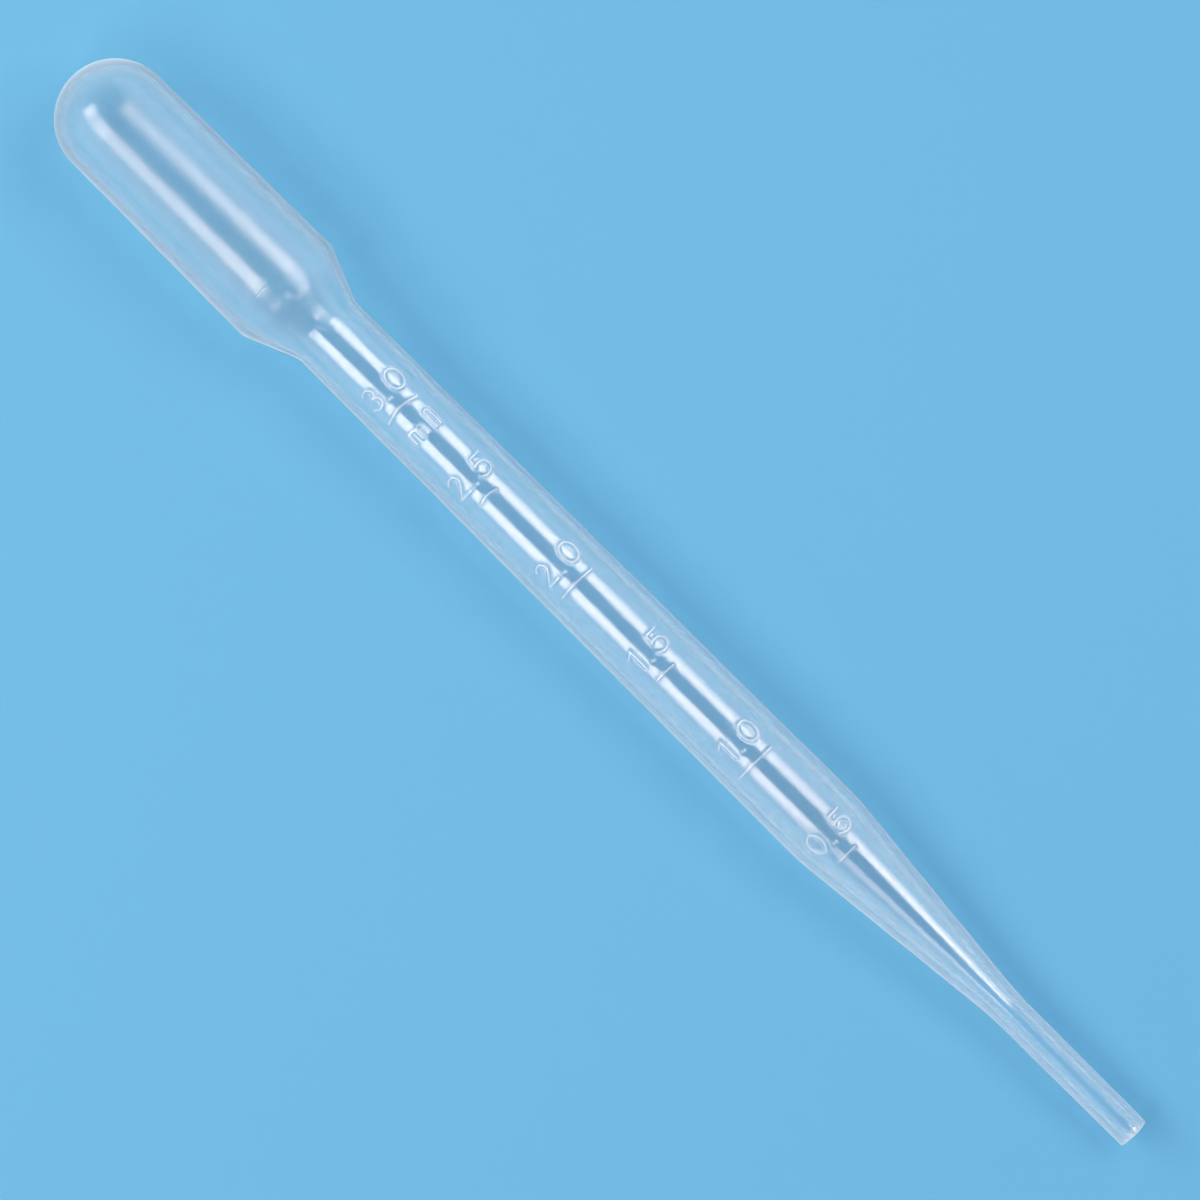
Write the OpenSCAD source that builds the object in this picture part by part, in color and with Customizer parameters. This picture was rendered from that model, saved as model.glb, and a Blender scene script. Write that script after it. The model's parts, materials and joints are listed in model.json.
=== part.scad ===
// Graduated dropper pipette, blown in one piece from soft translucent polyethylene.
// A domed squeeze bulb runs through a shoulder into a graduated stem, which is drawn down
// to a straight open tip. It lies on its bulb and on the foot of its stem, with the scale up.
// +X points out of the tip. The origin is on the ground, under the middle of the pipette.

/* [Overall] */
// Length from the top of the bulb to the end of the tip
length = 150; // [130:1:200]

/* [Bulb] */
// Outer diameter of the bulb where its dome ends
bulb_d = 12.3; // [10:0.05:16]
// Outer diameter of the bulb at its shoulder
bulb_low_d = 12.65; // [10:0.05:16]
// Height of the bulb, from its top to the corner of the shoulder
bulb_h = 30.3; // [20:0.1:45]
// Wall of the bulb
bulb_wall = 0.38; // [0.3:0.01:0.8]
// Wall at the very top of the dome
dome_wall = 0.6; // [0.5:0.05:1.5]

/* [Shoulder] */
// Length of the cone between the bulb and the stem
shoulder_h = 5.6; // [4:0.1:10]
// Radius that softens both corners of the shoulder
shoulder_round = 3; // [1:0.1:4]
// Radius of the upper corner on the inside, where the plastic gathers
shoulder_inner_round = 10; // [1:0.5:12]

/* [Stem] */
// Outer diameter of the stem under the shoulder
stem_top_d = 8.05; // [6:0.05:9.5]
// Outer diameter of the stem where the taper starts
stem_low_d = 8.7; // [6:0.05:9.5]
// Wall of the stem under the shoulder
stem_top_wall = 0.35; // [0.3:0.01:0.8]
// Wall of the stem where the taper starts
stem_low_wall = 0.83; // [0.3:0.01:1]

/* [Taper and tip] */
// Length of the taper between the stem and the tip
taper_h = 25; // [15:0.5:40]
// Radius that softens the start and the end of the taper
taper_round = 30; // [5:1:60]
// Length of the straight tip
tip_h = 18.3; // [10:0.1:30]
// Outer diameter of the tip where the taper ends
tip_top_d = 3.6; // [2.8:0.05:4.5]
// Outer diameter of the tip at its open end
tip_end_d = 3.45; // [2.8:0.05:4.5]
// Diameter of the bore through the tip
tip_bore_d = 2; // [0.8:0.05:2.2]

/* [Graduations] */
// Volume between two graduations, in cubic millimetres
mark_volume = 500; // [250:50:1000]
// Distance from the end of the tip to the lowest graduation
first_mark = 40.6; // [36:0.1:60]
// Most graduations on the stem, which carries as many as it has room for
most_marks = 6; // [1:1:12]
// Width of a graduation, along the stem
mark_w = 0.45; // [0.3:0.05:0.8]
// How far a graduation stands out of the stem
mark_out = 0.12; // [0.05:0.01:0.2]
// Angle that a whole graduation spans around the stem
whole_mark_angle = 62; // [30:1:120]
// Angle that a half graduation spans around the stem
half_mark_angle = 35; // [15:1:60]

/* [Lying position] */
// How far the scale is rolled off the top of the pipette as it lies
scale_roll = 5; // [-30:1:30]

/* [Hidden] */
$fa = 2;
$fs = 0.2;

// Stations along the axis, measured from the top of the bulb.
stem_z = bulb_h + shoulder_h;
tip_z = length - tip_h;
taper_z = tip_z - taper_h;

// Corners of the outer outline as [radius, station], from the dome's end to the tip's end.
outer = [
    [bulb_d / 2, bulb_d / 2],
    [bulb_low_d / 2, bulb_h],
    [stem_top_d / 2, stem_z],
    [stem_low_d / 2, taper_z],
    [tip_top_d / 2, tip_z],
    [tip_end_d / 2, length]
];

// The same for the hollow. Its dome is a smaller sphere, set lower, so the top is thicker.
hollow_dome_r = bulb_d / 2 - bulb_wall;
hollow = [
    [hollow_dome_r, dome_wall + hollow_dome_r],
    [bulb_low_d / 2 - bulb_wall, bulb_h],
    [stem_top_d / 2 - stem_top_wall, stem_z],
    [stem_low_d / 2 - stem_low_wall, taper_z],
    [tip_bore_d / 2, tip_z],
    [tip_bore_d / 2, length]
];

// Radii of the arcs that round the four middle corners of each outline. Apart from the upper
// corner of the shoulder, they are a wall apart.
outer_rounds = [shoulder_round, shoulder_round, taper_round, taper_round];
hollow_rounds = [
    shoulder_inner_round,
    shoulder_round + stem_top_wall,
    taper_round - stem_low_wall,
    taper_round + stem_low_wall
];

// Largest angle between two neighbouring points of an arc.
arc_step = 2.5;

// Heading of the side from points[i] to points[i + 1]. It is 90 along the axis.
function heading(points, i) =
    let (side = points[i + 1] - points[i]) atan2(side[1], side[0]);

// How far the outline turns at points[i]. It is above 0 where the corner bulges out.
function turn(points, i) = heading(points, i) - heading(points, i - 1);

// Direction from the corner at points[i] to the centre of its arc.
function to_centre(points, i) =
    heading(points, i - 1) + turn(points, i) / 2 + (turn(points, i) > 0 ? 90 : -90);

// Centre of the arc of radius r that touches both sides of that corner.
function arc_centre(points, i, r) =
    let (way = to_centre(points, i))
    points[i] + r / cos(turn(points, i) / 2) * [cos(way), sin(way)];

// That arc's points, evenly spaced from one side of the corner to the other.
function corner_arc(points, i, r) =
    let (
        centre = arc_centre(points, i, r),
        steps = max(1, ceil(abs(turn(points, i)) / arc_step)),
        middle = to_centre(points, i) + 180
    )
    [for (k = [0 : steps])
        let (angle = middle + turn(points, i) * (k / steps - 0.5))
        centre + r * [cos(angle), sin(angle)]];

// An outline with its middle corners rounded.
function rounded(points, rounds) = concat(
    [points[0]],
    [for (i = [1 : len(rounds)]) each corner_arc(points, i, rounds[i - 1])],
    [points[len(points) - 1]]
);

// Radius of an outline at station z.
function radius_at(points, z) = lookup(z, [for (p = points) [p[1], p[0]]]);

// Radius of the stem's bore at station z, carried on past the ends of the stem.
bore_slope = (hollow[3][0] - hollow[2][0]) / (hollow[3][1] - hollow[2][1]);
function stem_bore(z) = hollow[2][0] + bore_slope * (z - hollow[2][1]);

// Station of each graduation, counted from the tip. Each step holds mark_volume in the bore.
function mark_z(i) =
    i == 0
    ? length - first_mark
    : mark_z(i - 1) - mark_volume / (PI * pow(stem_bore(mark_z(i - 1)), 2));

// A graduation is the part of a round bead that stands out of the stem.
bead_r = (pow(mark_w / 2, 2) + pow(mark_out, 2)) / (2 * mark_out);

// The ground touches the arc where the taper starts and the part of the bulb that stands out
// most, its shoulder's upper arc or its dome. Each would give the axis a tilt, and the larger
// one holds.
stem_arc = arc_centre(outer, 3, taper_round);
function tilt_on(centre, r) =
    let (span = centre - stem_arc) acos((taper_round - r) / norm(span)) - atan2(-span[1], span[0]);
tilt = max(
    tilt_on(arc_centre(outer, 1, shoulder_round), shoulder_round),
    tilt_on([0, bulb_d / 2], bulb_d / 2)
);

// Height of the top of the bulb's axis, with the outline's lowest point on the ground.
top_height = max([for (p = rounded(outer, outer_rounds)) p[0] * cos(tilt) + p[1] * sin(tilt)]);

// Lowest and highest X before centring: the end of the dome, and the upper rim of the tip.
low_x = bulb_d / 2 * (cos(tilt) - 1);
high_x = length * cos(tilt) + tip_end_d / 2 * sin(tilt);

// The area of a dome of radius r, from the axis outwards, whose widest line is at station z.
module dome_area(r, z) {
    intersection() {
        translate([0, z]) circle(r);
        translate([0, z - r]) square(r);
    }
}

// The area inside an outline, from the axis outwards, under its dome.
module domed_area(points, rounds) {
    dome_area(points[0][0], points[0][1]);
    polygon(concat([[0, points[0][1]]], rounded(points, rounds), [[0, length]]));
}

// One graduation: a length of bead around the stem at station z, spanning the given angle
// about the middle of the scale.
module graduation(z, angle) {
    rotate([0, 0, 180 + scale_roll - angle / 2])
        rotate_extrude(angle = angle)
            translate([radius_at(outer, z) + mark_out - bead_r, z]) circle(bead_r);
}

// Every second graduation, counted from the tip, is a whole millilitre and is wider.
module scale_marks() {
    for (i = [0 : most_marks - 1])
        if (mark_z(i) > stem_z + shoulder_round)
            graduation(mark_z(i), i % 2 == 1 ? whole_mark_angle : half_mark_angle);
}

// The pipette as it comes out of the mould, on the Z axis with its bulb at the origin.
module moulded_pipette() {
    difference() {
        union() {
            rotate_extrude() domed_area(outer, outer_rounds);
            scale_marks();
        }
        rotate_extrude() domed_area(hollow, hollow_rounds);
    }
}

module pipette() {
    color([0.78, 0.87, 0.93, 0.6])
        translate([-(low_x + high_x) / 2, 0, top_height])
            rotate([0, 90 + tilt, 0])
                moulded_pipette();
}

pipette();
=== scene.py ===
"""Looks of the graduated dropper pipette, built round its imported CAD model.

The pipette is one closed skin of clear, slightly cloudy polyethylene with its hollow inside.
Its outlines and graduations are measured on the CAD node that it replaces. The raised numerals,
the creased side of the shoulder and the unevenness of blown plastic are added here.
"""

import json
import math

import bpy
import numpy as np
from mathutils import Matrix, Vector


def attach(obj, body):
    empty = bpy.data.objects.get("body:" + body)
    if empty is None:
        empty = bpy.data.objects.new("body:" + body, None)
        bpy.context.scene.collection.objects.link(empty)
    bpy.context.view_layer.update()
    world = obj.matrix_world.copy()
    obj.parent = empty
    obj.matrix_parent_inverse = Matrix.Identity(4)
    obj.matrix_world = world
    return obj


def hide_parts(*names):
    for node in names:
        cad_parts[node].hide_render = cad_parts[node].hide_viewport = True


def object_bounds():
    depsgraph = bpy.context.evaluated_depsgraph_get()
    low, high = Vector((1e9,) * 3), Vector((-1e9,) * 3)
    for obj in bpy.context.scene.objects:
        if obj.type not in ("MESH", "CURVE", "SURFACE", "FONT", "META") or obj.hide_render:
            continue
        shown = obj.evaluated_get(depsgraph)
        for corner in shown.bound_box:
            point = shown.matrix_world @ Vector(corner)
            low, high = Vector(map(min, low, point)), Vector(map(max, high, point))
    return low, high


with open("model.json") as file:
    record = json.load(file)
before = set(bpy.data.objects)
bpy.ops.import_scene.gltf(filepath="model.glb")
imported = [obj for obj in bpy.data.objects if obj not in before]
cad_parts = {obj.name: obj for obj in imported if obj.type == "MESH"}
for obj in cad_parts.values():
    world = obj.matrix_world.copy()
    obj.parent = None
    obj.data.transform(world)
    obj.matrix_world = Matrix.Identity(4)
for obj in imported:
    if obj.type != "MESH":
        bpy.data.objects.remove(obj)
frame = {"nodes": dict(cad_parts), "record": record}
cad_low, cad_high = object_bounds()

MM = 0.001

# Mesh of the skins
RING_STEP = 1.0 * MM  # between plain rings
HOLLOW_STEP = 2.0 * MM  # between plain rings of the hollow
FINE_STEP = 0.075 * MM  # between rings and columns where the scale is raised
COLUMN_STEP = 6.0  # degrees between plain columns
DOME_STEP = 3.0  # degrees between a dome's rings
SCALE_SECTOR = 39.0  # degrees to each side of the scale's middle with fine columns
FINE_RADIUS = 4.2 * MM  # where the fine columns are FINE_STEP apart
RING_GAP = 0.05 * MM  # measured rings closer than this count as one
SAME = 0.001 * MM  # measured sizes closer than this count as the same
ROUND_OFF = 1e-6  # share of a step that doesn't count
UNDERSIDE = 100  # degrees from the top, past which no graduation lies
OUTWARDS = 0.02  # least share of a skin's normal that points away from the axis, or to it
ENDWAYS = 0.5  # least share that points along the axis at the top of a dome
TAPER_SLOPE = -0.05  # the taper's outline falls faster than this, and the tip's doesn't
PROUD = 0.04 * MM  # what stands out further than this is a graduation
SHARP_ANGLE = 60.0  # degrees between faces whose edge stays sharp
RIM_ROUND = 0.05 * MM  # softening of the cut end of the tip
UNEVEN = 0.008 * MM  # how far each wave of a blown wall stands out
UNEVEN_WAVES = (
    # lobes round the axis, length along it, and phase
    (2, 41 * MM, 0.4),
    (3, 23 * MM, 1.7),
    (5, 13 * MM, 2.9),
    (7, 8 * MM, 4.1),
)
PHASE_TURN = 57  # degrees round the axis for each unit of phase
TIP_EVEN = 0.8  # share of the unevenness that gets lost from the shoulder to the tip

# Shoulder. On the -Y side of the top it starts early, with a fold, and there and underneath it
# ends early. Distances along it count from the middle of its steepest side. Where there are four
# distances or four angles, something sets in at the first, is full from the second to the third
# and ends at the fourth.
EARLY_NECK = 1.3 * MM  # how much earlier it ends
NECK_SPAN = (-3.5 * MM, 1.0 * MM, 3.0 * MM, 7.0 * MM)
NECK_SIDE = (-4.0, 8.0, 45.0, 80.0)
NECK_UNDER = (105.0, 140.0)  # angles to each side where it sets in and is full underneath
FOLD_START = -4.65 * MM
FOLD_SLOPE = 0.18  # how steeply it draws in from there
FOLD_SIDE = (-14.0, 8.0, 42.0, 66.0)
FOLD_LAG = 0.6 * MM  # how much later the fold starts at its far side
CREASE_LAG = 0.3 * MM  # from the start of the fold to the middle of its crease
CREASE_W = 0.16 * MM
CREASE_DEPTH = 0.05 * MM
CREASE_SIDE = (2.0, 14.0, 22.0, 36.0)
CREASE_SPAN = (-5.3 * MM, -3.7 * MM)  # where the rings lie close together for it

# Raised scale, with x round the stem to the right and y up the stem towards the bulb
STEP_VALUE = 0.5  # millilitres between graduations
CURVE_POINTS = 17  # along each curve of a stroke
STROKE_W = 0.45 * MM
STROKE_OUT = 0.13 * MM
SKIRT_W = 0.5 * MM  # how far from a stroke's middle the plastic still swells
SKIRT_OUT = 0.05 * MM
DIGIT_H = 2.3 * MM  # between the middles of a digit's top and bottom strokes
DIGIT_FOOT = 1.66 * MM  # from a graduation up to the middle of a digit's bottom stroke
FIRST_DIGIT = (-2.17 * MM, -0.78 * MM)  # left and right edge of the millilitres
LAST_DIGIT = (0.87 * MM, 2.55 * MM)  # left and right edge of the tenths
DOT_X = -0.1 * MM
DOT_SIZE = 0.08 * MM
M_FOOT = -3.38 * MM  # from the top graduation down to the foot of the "m" under it
M_X = (-1.3 * MM, 0.32 * MM)
M_H = 1.2 * MM
L_X = (1.34 * MM, 1.84 * MM)
L_FOOT = -3.55 * MM
L_H = 2.05 * MM
BOW_TOP = 0.38 * MM  # how far the middle of the top graduation bows up
BOW_FADE = 0.55  # share of the bow that the next graduation down has

# Camera and light
VIEW_SHARE = 0.799  # width of the view, as a share of the pipette's length
VIEW_DISTANCE = 0.6
VIEW_TURN = 44.88  # degrees
VIEW_CENTRE = Vector((-0.8 * MM, 0.155 * MM, 0))
SENSOR = 36.0  # millimetres, and so is the lens
LIGHT_DISTANCE = 0.6
LIGHTS = {
    # name: lean from straight up towards +Y, reach from and to along +X, width across (all in
    # degrees, seen from the origin), and radiance
    "front_dome": (-27.0, -53.0, -44.0, 22.0, 9.0),
    "front_bulb": (-30.0, -44.0, -5.7, 25.0, 2.8),
    "front_stem": (-33.5, -5.7, 9.5, 28.0, 4.3),
    "back_bulb": (36.5, -9.2, -5.7, 19.0, 3.4),
    "back_stem": (35.0, -5.7, 12.5, 26.0, 4.3),
    "back_taper": (34.5, 19.0, 28.0, 24.0, 5.5),
}
LIGHT_TINT = (1.12, 0.93, 0.78)
WALL_LIGHT = (0.8, 0.9, 1.04, 1)  # the bright surroundings on both sides
WALLS = ((-0.35, -0.94, 0.0), (0.0, 1.0, 0.0))  # directions to their middles
WALL_EDGE = (0.6, 0.76)  # share of such a direction where they set in and are full
HORIZON = (0.07, 0.14)  # share of +Z where the far floor ends and the surroundings are full
CEILING_LIGHT = (0.28, 0.36, 0.5, 1)
FLOOR_COLOUR = (0.15, 0.448, 0.675, 1)
FLOOR_HALF = 2.0  # metres from its middle to its sides

# Plastic
IOR = 1.51
BULB_ROUGHNESS = 0.16
STEM_ROUGHNESS = 0.11
GLOSS_BLEND = 2 * MM  # from the shoulder's middle to where each of those holds
EDGE_BLUR = 0.1  # what is added to those where the plastic is seen edge on
BLUR_FACING = (0.3, 0.7)  # Facing where that sets in and is full
HAZE = (0.65, 0.6)  # share of light scattered where seen edge on, at the shoulder and the tip
EDGE_POWER = (3.5, 1.5)  # how fast that fades where they are seen face on
CLOUD_AND_HIGHLIGHT = "cloud_and_highlight"  # name of the mesh's own note of where the plastic is cloudier, and of where its white haze is a painted highlight
CLOUD_AND_HIGHLIGHT_HAZE = 0.29  # share scattered on the scale's crests, on the crease and on the cut end: a painted highlight on the crease and the cut end, and on the crests partly the plastic's own haze and partly a painted highlight
CLOUD_AND_HIGHLIGHT_CREST = (0.6, 1)  # share of a stroke's height where that sets in and is full
SHEEN = 0.9
SHEEN_ROUGHNESS = 0.5


class Axis:
    """The pipette's axis. A station is a distance along it from the top of the bulb, and an
    angle goes round it from straight up towards -Y."""

    def __init__(self, point, along, node):
        self.along = np.array(along.normalized())
        self.start = np.array(point)
        self.start += self.along * self.polar(points_of(node))[0].min()

    @property
    def up(self):
        up = np.array((0, 0, 1)) - self.along[2] * self.along
        return up / np.linalg.norm(up)

    @property
    def left(self):
        return np.cross(self.along, self.up)

    def polar(self, points):
        """Station, radius and angle in degrees of each point."""
        away = points - self.start
        x, y, z = away @ self.along, away @ self.left, away @ self.up
        return x, np.hypot(y, z), np.degrees(np.arctan2(y, z))

    def x_of(self, station):
        """The row frame's X at a station of the axis."""
        return self.start[0] + station * self.along[0]

    def place(self, stations, radii, angles):
        """The points with these stations, radii and angles."""
        turns = np.radians(angles)
        return (
            self.start
            + stations[..., None] * self.along
            + (radii * np.sin(turns))[..., None] * self.left
            + (radii * np.cos(turns))[..., None] * self.up
        )


def points_of(node):
    """The node's vertices, one row each."""
    flat = np.empty(3 * len(node.data.vertices), np.float32)
    node.data.vertices.foreach_get("co", flat)
    return flat.reshape(-1, 3).astype(float)


def corners_of(node):
    """Each corner of the node's faces, with the normal of its face."""
    mesh = node.data
    points = points_of(node)
    corners = [(points[v], face.normal) for face in mesh.polygons for v in face.vertices]
    return np.array([c[0] for c in corners]), np.array([c[1] for c in corners])


class Outline:
    """Half section of one skin: a dome, then straight sides between rings."""

    def __init__(self, stations, radii):
        order = np.argsort(stations)
        stations, radii = stations[order], radii[order]
        self.apex = stations[0]
        domed = stations - self.apex <= radii + SAME
        domed[0] = True
        self.dome_r = radii[domed].max()
        self.side_start = self.apex + self.dome_r
        side = ~domed
        self.rings = np.concatenate([[self.side_start], stations[side]])
        self.radii = np.concatenate([[self.dome_r], radii[side]])

    def radius(self, stations):
        """The radius at each station."""
        down = np.clip(self.side_start - stations, 0, self.dome_r)
        on_dome = np.sqrt(self.dome_r**2 - down**2)
        return np.where(
            stations < self.side_start, on_dome, np.interp(stations, self.rings, self.radii)
        )

    def landmarks(self):
        """Stations of the middle and the start of the shoulder's steepest side, and of the end
        of the taper."""
        slopes = np.diff(self.radii) / np.diff(self.rings)
        steepest = np.argmin(slopes)
        last = np.flatnonzero(slopes < TAPER_SLOPE)[-1]
        middle = self.rings[steepest : steepest + 2].mean()
        return middle, self.rings[steepest], self.rings[last + 1]

    def dome_stations(self):
        """Stations of the dome's rings, an even angle apart, without its apex."""
        angles = np.radians(np.arange(DOME_STEP, 90, DOME_STEP))
        return self.apex + self.dome_r * (1 - np.cos(angles))


def filled(stations, step):
    """The stations with more between them, so that no two are over step apart."""
    made = []
    for a, b in zip(stations[:-1], stations[1:]):
        parts = max(1, math.ceil((b - a) / step - ROUND_OFF))
        made.extend(a + (b - a) * k / parts for k in range(parts))
    return np.array([*made, stations[-1]])


def merged(stations, least):
    """The stations in order, without those closer than least to the one before."""
    kept = []
    for station in sorted(stations):
        if not kept or station - kept[-1] > least:
            kept.append(station)
    return np.array(kept)


def measured_outlines(node, axis):
    """The outer skin and the hollow, from the rings of vertices below the axis, where no
    graduation is."""
    points, normals = corners_of(node)
    stations, radii, angles = axis.polar(points)
    away = axis.place(np.zeros(1), np.ones(1), angles) - axis.start
    outwards = np.einsum("ij,ij->i", normals, away)
    at_apex = radii < SAME
    below = np.abs(angles) > UNDERSIDE
    made = []
    for facing in (1, -1):
        skin = below & ~at_apex & (outwards * facing > OUTWARDS)
        first = np.unique(np.round(stations[skin] / SAME), return_index=True)[1]
        apex = stations[at_apex & (normals @ axis.along * -facing > ENDWAYS)].mean()
        made.append(
            Outline(
                np.concatenate([[apex], stations[skin][first]]),
                np.concatenate([[0.0], radii[skin][first]]),
            )
        )
    return made


def measured_marks(node, axis, outer):
    """Each graduation as (station, lowest angle, highest angle), from the tip to the bulb."""
    stations, radii, angles = axis.polar(points_of(node))
    proud = radii > outer.radius(stations) + PROUD
    stations, angles = stations[proud], angles[proud]
    order = np.argsort(-stations)
    groups = np.split(order, np.flatnonzero(np.diff(-stations[order]) > RING_STEP) + 1)
    return [
        ((stations[g].min() + stations[g].max()) / 2, angles[g].min(), angles[g].max())
        for g in groups
    ]


def arc(centre_x, centre_y, radius_x, radius_y, start, end):
    """Points along an ellipse from one angle to another, anticlockwise from its right."""
    turns = np.radians(np.linspace(start, end, CURVE_POINTS))
    return [(centre_x + radius_x * math.cos(t), centre_y + radius_y * math.sin(t)) for t in turns]


# Strokes of each sign, in a cell that is one wide and one high.
SIGNS = {
    "0": [arc(0.5, 0.5, 0.5, 0.5, 0, 360)],
    "1": [[(0.35, 0.8), (0.82, 1), (0.82, 0)]],
    "2": [arc(0.45, 0.73, 0.42, 0.27, 165, -40) + [(0.02, 0), (1, 0)]],
    "3": [arc(0.53, 0.76, 0.42, 0.24, 150, -80), arc(0.53, 0.27, 0.5, 0.27, 80, -150)],
    "5": [[(0.92, 1), (0.22, 1), (0.12, 0.56)], arc(0.45, 0.33, 0.5, 0.33, 130, -145)],
    "m": [
        [(0, 0), (0, 1)],
        arc(0.25, 0.7, 0.25, 0.3, 180, 0) + [(0.5, 0)],
        arc(0.75, 0.7, 0.25, 0.3, 180, 0) + [(1, 0)],
    ],
    "l": [[(0, 0)] + arc(0.5, 0.88, 0.5, 0.12, 180, 0) + [(1, 0)]],
}


def sign_strokes(sign, left, right, foot, height):
    """The strokes of one sign, placed on the unrolled stem."""
    return [
        np.array([(left + (right - left) * x, foot + height * y) for x, y in stroke])
        for stroke in SIGNS[sign]
    ]


def label_strokes(value):
    """The strokes of a graduation's number, about the graduation's middle."""
    first, last = f"{value:.1f}".split(".")
    dot = [(DOT_X - DOT_SIZE, DIGIT_FOOT), (DOT_X + DOT_SIZE, DIGIT_FOOT)]
    return [
        *sign_strokes(first, *FIRST_DIGIT, DIGIT_FOOT, DIGIT_H),
        np.array(dot),
        *sign_strokes(last, *LAST_DIGIT, DIGIT_FOOT, DIGIT_H),
    ]


def unit_strokes():
    """The strokes of the "ml" under the top graduation, about the graduation's middle."""
    return [
        *sign_strokes("m", *M_X, M_FOOT, M_H),
        *sign_strokes("l", *L_X, L_FOOT, L_H),
    ]


def mark_stroke(half_width, bow):
    """A graduation as a shallow arch."""
    spread = np.linspace(-1, 1, CURVE_POINTS)
    return np.stack([spread * half_width, bow * (1 - spread**2)], 1)


def distance_to(line, points):
    """Distance from each point to a line of straight sides."""
    nearest = np.full(len(points), np.inf)
    for start, end in zip(line[:-1], line[1:]):
        side = end - start
        share = np.clip((points - start) @ side / (side @ side), 0, 1)
        away = points - start - share[:, None] * side
        nearest = np.minimum(nearest, np.linalg.norm(away, axis=1))
    return nearest


def smooth(values, low, high):
    """0 up to low, 1 from high on, and an even rise between."""
    share = np.clip((values - low) / (high - low), 0, 1)
    return share * share * (3 - 2 * share)


def wrapped(angles):
    """The same angles, each from -180 to 180 degrees."""
    return (angles + 180) % 360 - 180


def stroke_height(distance):
    """Height of a stroke, the cap of a round bead on a soft swelling, at a distance from its
    middle."""
    bead_out = STROKE_OUT - SKIRT_OUT
    bead_r = ((STROKE_W / 2) ** 2 + bead_out**2) / (2 * bead_out)
    inside = np.minimum(distance, STROKE_W / 2)
    bead = np.sqrt(bead_r**2 - inside**2) - (bead_r - bead_out)
    return bead + SKIRT_OUT * (1 - smooth(distance, 0, SKIRT_W))


def scale_relief(marks, outer, stations, angles):
    """How far the scale stands out of the skin, for each ring and column."""
    relief = np.zeros((len(stations), len(angles)))
    for i, (station, low, high) in enumerate(marks):
        radius = float(outer.radius(np.array(station)))
        middle = (low + high) / 2
        bow = BOW_TOP * BOW_FADE ** (len(marks) - 1 - i)
        half_width = math.radians(high - low) / 2 * radius - STROKE_W / 2
        strokes = [mark_stroke(half_width, bow), *label_strokes(STEP_VALUE * (i + 1))]
        if i == len(marks) - 1:
            strokes.extend(unit_strokes())
        x = -np.radians(wrapped(angles - middle)) * radius
        across, up = np.meshgrid(x, station - stations)
        for stroke in strokes:
            low_corner = stroke.min(0) - SKIRT_W
            high_corner = stroke.max(0) + SKIRT_W
            near = (across > low_corner[0]) & (across < high_corner[0])
            near &= (up > low_corner[1]) & (up < high_corner[1])
            height = stroke_height(distance_to(stroke, np.stack([across[near], up[near]], 1)))
            relief[near] = np.maximum(relief[near], height)
    return relief


def neck_shift(stations, angles, outer):
    """How much earlier the shoulder ends, for each ring and column."""
    past = stations - outer.landmarks()[0]
    span = np.interp(past, NECK_SPAN, (0, 1, 1, 0))
    angles = wrapped(angles)
    over = smooth(angles, *NECK_SIDE[:2]) * (1 - smooth(angles, *NECK_SIDE[2:]))
    return EARLY_NECK * span[:, None] * (over + smooth(np.abs(angles), *NECK_UNDER))


def shoulder_fold(stations, angles, outer):
    """How far the shoulder is folded in, and how near the fold's crease is, for each ring and
    column. That nearness also whitens the crease with haze, a painted highlight."""
    shoulder = outer.landmarks()[0]
    share = smooth(angles, *FOLD_SIDE[:2]) * (1 - smooth(angles, *FOLD_SIDE[2:]))
    creases = shoulder + FOLD_START + FOLD_LAG * smooth(angles, FOLD_SIDE[1], FOLD_SIDE[3])
    past = stations[:, None] - creases
    folded = outer.radius(creases) - FOLD_SLOPE * past
    depth = np.maximum(outer.radius(stations)[:, None] - folded, 0) * (stations < shoulder)[:, None]
    sharp = smooth(angles, *CREASE_SIDE[:2]) * (1 - smooth(angles, *CREASE_SIDE[2:]))
    # The crease's nearness also sets a white haze along it: a painted highlight for the bright rim
    # where the highlight ends
    crease = sharp * np.exp(-(((past - CREASE_LAG) / CREASE_W) ** 2))
    return share * depth + CREASE_DEPTH * crease, crease


def unevenness(stations, angles, outer):
    """How far the blown wall, with both its skins, stands out of round, for each ring and
    column."""
    made = np.zeros((len(stations), len(angles)))
    for lobes, length, phase in UNEVEN_WAVES:
        along = np.sin(2 * math.pi * stations / length + phase)
        made += along[:, None] * np.cos(np.radians(lobes * angles + PHASE_TURN * phase))
    drawn = smooth(stations, *outer.landmarks()[1:])
    return UNEVEN * made * (1 - TIP_EVEN * drawn)[:, None]


def skin_columns(middle):
    """Angles of the columns, close together in the scale's sector."""
    fine = math.degrees(FINE_STEP / FINE_RADIUS)
    width = 2 * SCALE_SECTOR
    sector = np.linspace(-SCALE_SECTOR, SCALE_SECTOR, round(width / fine) + 1)
    rest = np.linspace(SCALE_SECTOR, 360 - SCALE_SECTOR, round((360 - width) / COLUMN_STEP) + 1)
    return middle + np.concatenate([sector, rest[1:-1]])


def outer_rings(outer, marks):
    """Stations of the outer skin's rings."""
    rings = merged([*outer.dome_stations(), *outer.rings], RING_GAP)
    rings = filled(rings, RING_STEP)
    label = DIGIT_FOOT + DIGIT_H + SKIRT_W
    top = marks[-1][0]
    windows = [(mark[0] - label, mark[0] + SKIRT_W) for mark in marks]
    windows.append((top, top - L_FOOT + SKIRT_W))
    windows.append([outer.landmarks()[0] + edge for edge in CREASE_SPAN])
    for low, high in windows:
        plain = [s for s in rings if not low < s < high]
        fine = np.arange(low, high, FINE_STEP)
        rings = merged([*plain, *fine], FINE_STEP / 2)
    return np.append(rings[rings < outer.rings[-1] - RIM_ROUND], outer.rings[-1] - RIM_ROUND)


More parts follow.
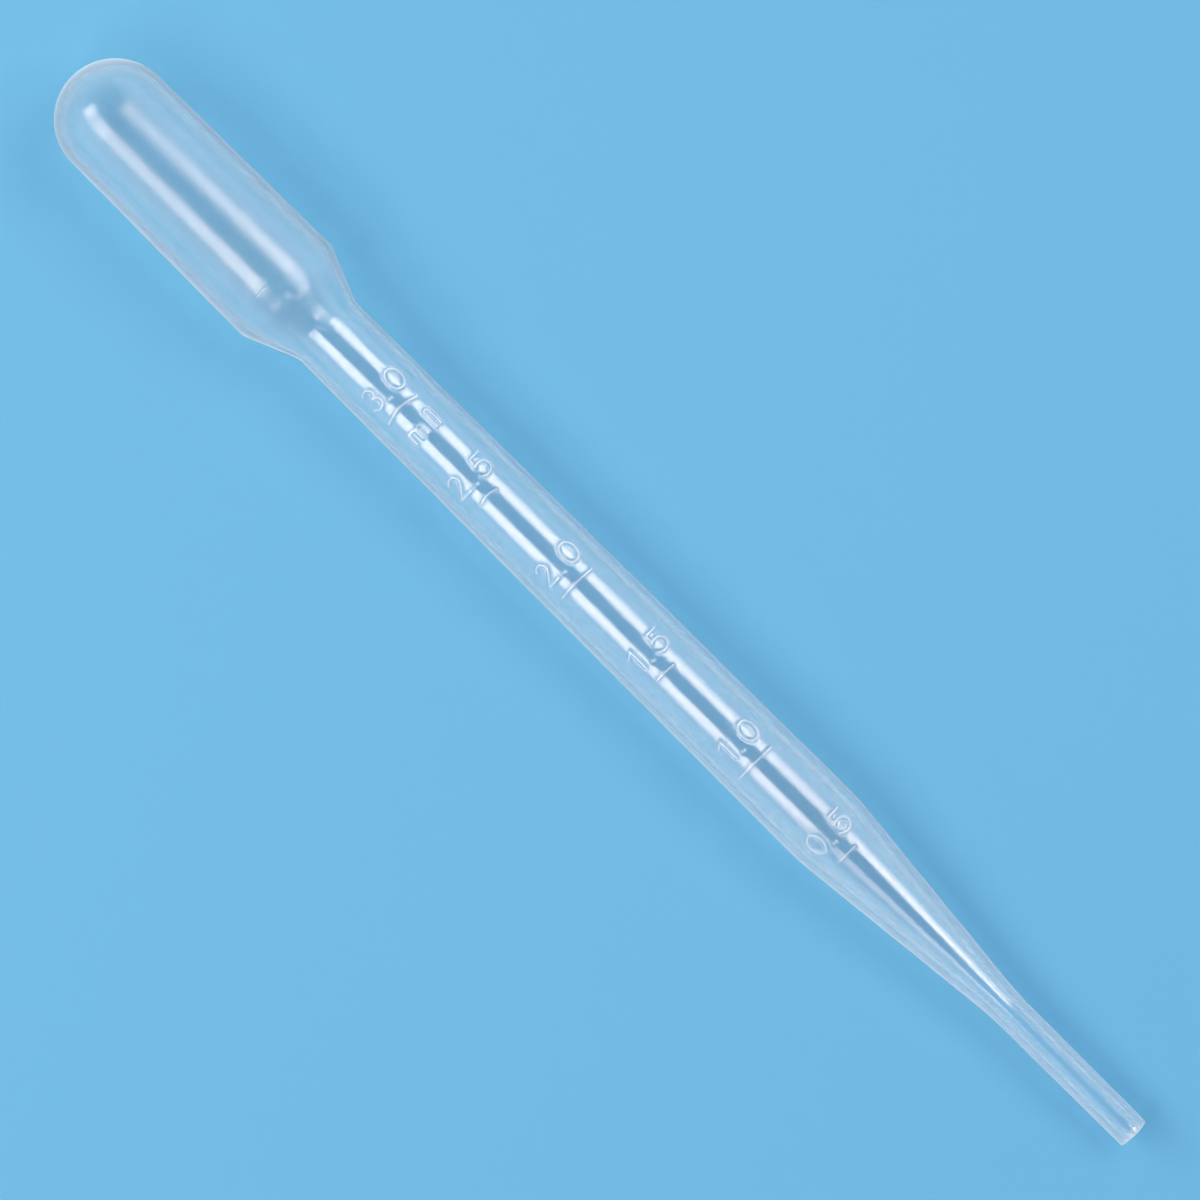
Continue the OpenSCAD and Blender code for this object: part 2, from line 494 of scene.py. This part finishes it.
def skin_faces(first, ring_count, column_count, apex, inwards):
    """Faces of one skin, whose vertices run ring by ring from the given first one."""
    faces = []
    for j in range(column_count):
        k = (j + 1) % column_count
        faces.append((apex, first + k, first + j))
        for i in range(ring_count - 1):
            a = first + i * column_count
            b = a + column_count
            faces.append((a + j, a + k, b + k, b + j))
    return [face[::-1] for face in faces] if inwards else faces


def outer_surface(axis, outer, stations, angles, relief):
    """The outer skin's points, ring by ring up to the rounded cut end, and how cloudy each is. The
    cloudiness on the crease and the cut end is a painted highlight, and on the crests it is partly
    the plastic's own haze and partly a painted highlight.
    """
    fold, crease = shoulder_fold(stations, angles, outer)
    radii = outer.radius(stations[:, None] + neck_shift(stations, angles, outer)) + relief
    radii += unevenness(stations, angles, outer) - fold
    end = outer.rings[-1]
    stations = np.append(stations, end)
    radii = np.vstack([radii, np.full(len(angles), outer.radius(end) - RIM_ROUND)])
    # Full cloudiness on the last two rings is a painted highlight on the rounded cut end
    cloud_and_highlight = np.ones(radii.shape)
    cloud_and_highlight[:-2] = np.maximum(relief / STROKE_OUT, crease)[:-1]
    return axis.place(stations[:, None], radii, angles), cloud_and_highlight


def inner_surface(axis, outer, hollow, angles):
    """The hollow's points, ring by ring up to the cut end, and how cloudy each is: only its last
    ring, whose haze is a painted highlight on the cut end. The hollow follows what the outer skin
    does at the shoulder."""
    rings = merged([*hollow.dome_stations(), *hollow.rings], RING_GAP)
    stations = filled(rings, HOLLOW_STEP)
    radii = hollow.radius(stations[:, None] + neck_shift(stations, angles, outer))
    radii += unevenness(stations, angles, outer)
    radii -= shoulder_fold(stations, angles, outer)[0]
    cloud_and_highlight = np.zeros(radii.shape)
    # A painted highlight: white haze on the cut end
    cloud_and_highlight[-1] = 1
    return axis.place(stations[:, None], radii, angles), cloud_and_highlight


def make_pipette(axis, outer, hollow, marks):
    """The pipette as one closed mesh: its outer skin, its hollow and the ring at the open tip."""
    angles = skin_columns((marks[-1][1] + marks[-1][2]) / 2)
    stations = outer_rings(outer, marks)
    relief = scale_relief(marks, outer, stations, angles)
    outside, outside_cloud_and_highlight = outer_surface(axis, outer, stations, angles, relief)
    inside, inside_cloud_and_highlight = inner_surface(axis, outer, hollow, angles)
    apexes = axis.place(np.array([outer.apex, hollow.apex]), np.zeros(2), np.zeros(2))
    points = np.concatenate([apexes, outside.reshape(-1, 3), inside.reshape(-1, 3)])
    cloud_and_highlight = np.concatenate([np.zeros(2), outside_cloud_and_highlight.ravel(), inside_cloud_and_highlight.ravel()])

    columns = len(angles)
    first_in = 2 + outside.shape[0] * columns
    last_out = first_in - columns
    last_in = len(points) - columns
    faces = skin_faces(2, outside.shape[0], columns, 0, False)
    faces += skin_faces(first_in, inside.shape[0], columns, 1, True)
    for j in range(columns):
        k = (j + 1) % columns
        faces.append((last_out + j, last_out + k, last_in + k, last_in + j))

    mesh = bpy.data.meshes.new("dropper_pipette")
    mesh.from_pydata(points.tolist(), [], faces)
    mesh.attributes.new(CLOUD_AND_HIGHLIGHT, "FLOAT", "POINT").data.foreach_set("value", cloud_and_highlight)
    mesh.shade_smooth()
    mesh.set_sharp_from_angle(angle=math.radians(SHARP_ANGLE))
    mesh.update()
    piece = bpy.data.objects.new("dropper_pipette", mesh)
    bpy.context.scene.collection.objects.link(piece)
    return piece


def new_material(name):
    """An empty node material, with its nodes and a short way to link them."""
    material = bpy.data.materials.new(name)
    material.use_nodes = True
    tree = material.node_tree
    tree.nodes.clear()
    return material, tree.nodes, tree.links.new


def value_node(nodes, link, operation, a, b):
    """A Math node whose inputs are numbers or sockets. Returns its result."""
    node = nodes.new("ShaderNodeMath")
    node.operation = operation
    for socket, value in zip(node.inputs, (a, b)):
        if isinstance(value, (int, float)):
            socket.default_value = value
        else:
            link(value, socket)
    return node.outputs[0]


def ramp_node(nodes, link, value, from_range, to_range):
    """The value carried smoothly from one range to another. The node's inputs 1 to 4 are the
    ends of the two ranges."""
    node = nodes.new("ShaderNodeMapRange")
    node.interpolation_type = "SMOOTHSTEP"
    for socket, number in zip(list(node.inputs)[1:5], (*from_range, *to_range)):
        socket.default_value = number
    link(value, node.inputs["Value"])
    return node.outputs[0]


def mix_node(nodes, link, share, a, b):
    """The colour a, or b by that share. Each is a colour or a socket. The node's inputs 6 and 7
    and its output 2 are its colours."""
    node = nodes.new("ShaderNodeMix")
    node.data_type = "RGBA"
    link(share, node.inputs[0])
    for socket, colour in zip(list(node.inputs)[6:8], (a, b)):
        if isinstance(colour, tuple):
            socket.default_value = colour
        else:
            link(colour, socket)
    return node.outputs[2]


def make_polyethylene(shoulder_x, haze_x, tip_x):
    """Clear, slightly cloudy plastic, softer on the bulb than on the stem, and cloudier in the
    thick tip. Its white haze at the cut end and on the crease is a painted highlight, and on the
    crests of the scale it is partly the plastic's own haze and partly a painted highlight. Its haze
    changes from haze_x to tip_x."""
    material, nodes, link = new_material("polyethylene")
    output = nodes.new("ShaderNodeOutputMaterial")
    shader = nodes.new("ShaderNodeBsdfPrincipled")
    shader.inputs["Base Color"].default_value = (1, 1, 1, 1)
    shader.inputs["IOR"].default_value = IOR
    shader.inputs["Sheen Weight"].default_value = SHEEN
    shader.inputs["Sheen Roughness"].default_value = SHEEN_ROUGHNESS
    seen = nodes.new("ShaderNodeLayerWeight")
    cloud_and_highlight = nodes.new("ShaderNodeAttribute")
    cloud_and_highlight.attribute_name = CLOUD_AND_HIGHLIGHT
    place = nodes.new("ShaderNodeTexCoord").outputs["Object"]
    split = nodes.new("ShaderNodeSeparateXYZ")
    link(place, split.inputs[0])
    x = split.outputs["X"]
    edge_haze = ramp_node(nodes, link, x, (haze_x, tip_x), HAZE)
    edge_power = ramp_node(nodes, link, x, (haze_x, tip_x), EDGE_POWER)
    edge = value_node(nodes, link, "POWER", seen.outputs["Facing"], edge_power)
    edge_haze = value_node(nodes, link, "MULTIPLY", edge, edge_haze)
    # Haze from the mesh's note: a painted highlight on the crease and the cut end, and on the
    # crests partly the plastic's own haze and partly a painted highlight
    crest_cloud_and_highlight = ramp_node(nodes, link, cloud_and_highlight.outputs["Fac"], CLOUD_AND_HIGHLIGHT_CREST, (0, CLOUD_AND_HIGHLIGHT_HAZE))
    haze = value_node(nodes, link, "ADD", edge_haze, crest_cloud_and_highlight)
    link(value_node(nodes, link, "SUBTRACT", 1.0, haze), shader.inputs["Transmission Weight"])
    blend = (shoulder_x - GLOSS_BLEND, shoulder_x + GLOSS_BLEND)
    roughness = ramp_node(nodes, link, x, blend, (BULB_ROUGHNESS, STEM_ROUGHNESS))
    edge_blur = ramp_node(nodes, link, seen.outputs["Facing"], BLUR_FACING, (0, EDGE_BLUR))
    link(value_node(nodes, link, "ADD", roughness, edge_blur), shader.inputs["Roughness"])
    link(shader.outputs[0], output.inputs["Surface"])
    return material


def make_floor():
    """The plain sky-blue table."""
    corners = [(x * FLOOR_HALF, y * FLOOR_HALF, 0) for x, y in ((-1, -1), (1, -1), (1, 1), (-1, 1))]
    mesh = bpy.data.meshes.new("floor")
    mesh.from_pydata(corners, [], [(0, 1, 2, 3)])
    floor = bpy.data.objects.new("floor", mesh)
    bpy.context.scene.collection.objects.link(floor)
    material, nodes, link = new_material("blue_table")
    output = nodes.new("ShaderNodeOutputMaterial")
    shader = nodes.new("ShaderNodeBsdfDiffuse")
    shader.inputs["Color"].default_value = FLOOR_COLOUR
    link(shader.outputs[0], output.inputs["Surface"])
    mesh.materials.append(material)


def make_world():
    """Soft surroundings: bright on both sides, and dimmer overhead and at the ends."""
    world = bpy.data.worlds.new("studio")
    bpy.context.scene.world = world
    world.use_nodes = True
    nodes, link = world.node_tree.nodes, world.node_tree.links.new
    nodes.clear()
    output = nodes.new("ShaderNodeOutputWorld")
    shader = nodes.new("ShaderNodeBackground")
    split = nodes.new("ShaderNodeSeparateXYZ")
    direction = nodes.new("ShaderNodeTexCoord").outputs["Generated"]
    link(direction, split.inputs[0])
    above = ramp_node(nodes, link, split.outputs["Z"], HORIZON, (0, 1))
    towards = 0.0
    for middle in WALLS:
        share = nodes.new("ShaderNodeVectorMath")
        share.operation = "DOT_PRODUCT"
        share.inputs[1].default_value = middle
        link(direction, share.inputs[0])
        towards = value_node(nodes, link, "MAXIMUM", share.outputs["Value"], towards)
    wall = ramp_node(nodes, link, towards, WALL_EDGE, (0, 1))
    around = mix_node(nodes, link, wall, CEILING_LIGHT, WALL_LIGHT)
    link(mix_node(nodes, link, above, FLOOR_COLOUR, around), shader.inputs["Color"])
    link(shader.outputs[0], output.inputs["Surface"])


def make_softbox(name, lean, low, high, width, radiance):
    """A soft light over the pipette. It leans towards +Y, reaches between two angles along +X
    and is so wide across."""
    lean, low, high, width = (math.radians(angle) for angle in (lean, low, high, width))
    along = (low + high) / 2
    upright = math.cos(along)
    back = Vector((math.sin(along), upright * math.sin(lean), upright * math.cos(lean)))
    side = (Vector((1, 0, 0)) - back.x * back).normalized()
    data = bpy.data.lights.new("softbox_" + name, "AREA")
    data.shape = "RECTANGLE"
    data.size = 2 * LIGHT_DISTANCE * math.tan((high - low) / 2)
    data.size_y = 2 * LIGHT_DISTANCE * math.tan(width / 2)
    data.energy = radiance * math.pi * data.size * data.size_y
    data.color = LIGHT_TINT
    light = bpy.data.objects.new(data.name, data)
    light.matrix_world = Matrix.Translation(back * LIGHT_DISTANCE) @ Matrix(
        (side, back.cross(side), back)
    ).transposed().to_4x4()
    light.visible_camera = False
    bpy.context.scene.collection.objects.link(light)


def make_camera(length, middle_height):
    """Straight down on the pipette, which lies across the view from corner to corner."""
    data = bpy.data.cameras.new("camera")
    data.sensor_width = SENSOR
    data.lens = SENSOR * VIEW_DISTANCE / (VIEW_SHARE * length)
    camera = bpy.data.objects.new("camera", data)
    camera.location = VIEW_CENTRE + Vector((0, 0, middle_height + VIEW_DISTANCE))
    camera.rotation_euler = (0, 0, math.radians(VIEW_TURN))
    bpy.context.scene.collection.objects.link(camera)
    bpy.context.scene.camera = camera


mount = next(m for m in frame["record"]["mounts"] if m["name"] == "tip_bore")
cad_node = frame["nodes"]["pipette"]
pipette_axis = Axis(Vector(mount["pos_m"]), Vector(mount["axis"]), cad_node)
outer_skin, hollow_skin = measured_outlines(cad_node, pipette_axis)
graduations = measured_marks(cad_node, pipette_axis, outer_skin)
pipette = make_pipette(pipette_axis, outer_skin, hollow_skin, graduations)
pipette.data.materials.append(
    make_polyethylene(*[pipette_axis.x_of(station) for station in outer_skin.landmarks()])
)
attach(pipette, "root")
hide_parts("pipette")

make_floor()
make_world()
for light_name, light in LIGHTS.items():
    make_softbox(light_name, *light)
make_camera(cad_high.x - cad_low.x, (cad_low.z + cad_high.z) / 2)

bpy.context.scene.view_settings.view_transform = "Standard"
# So that the floor gets the light that the plastic lets through
bpy.context.scene.cycles.blur_glossy = 0
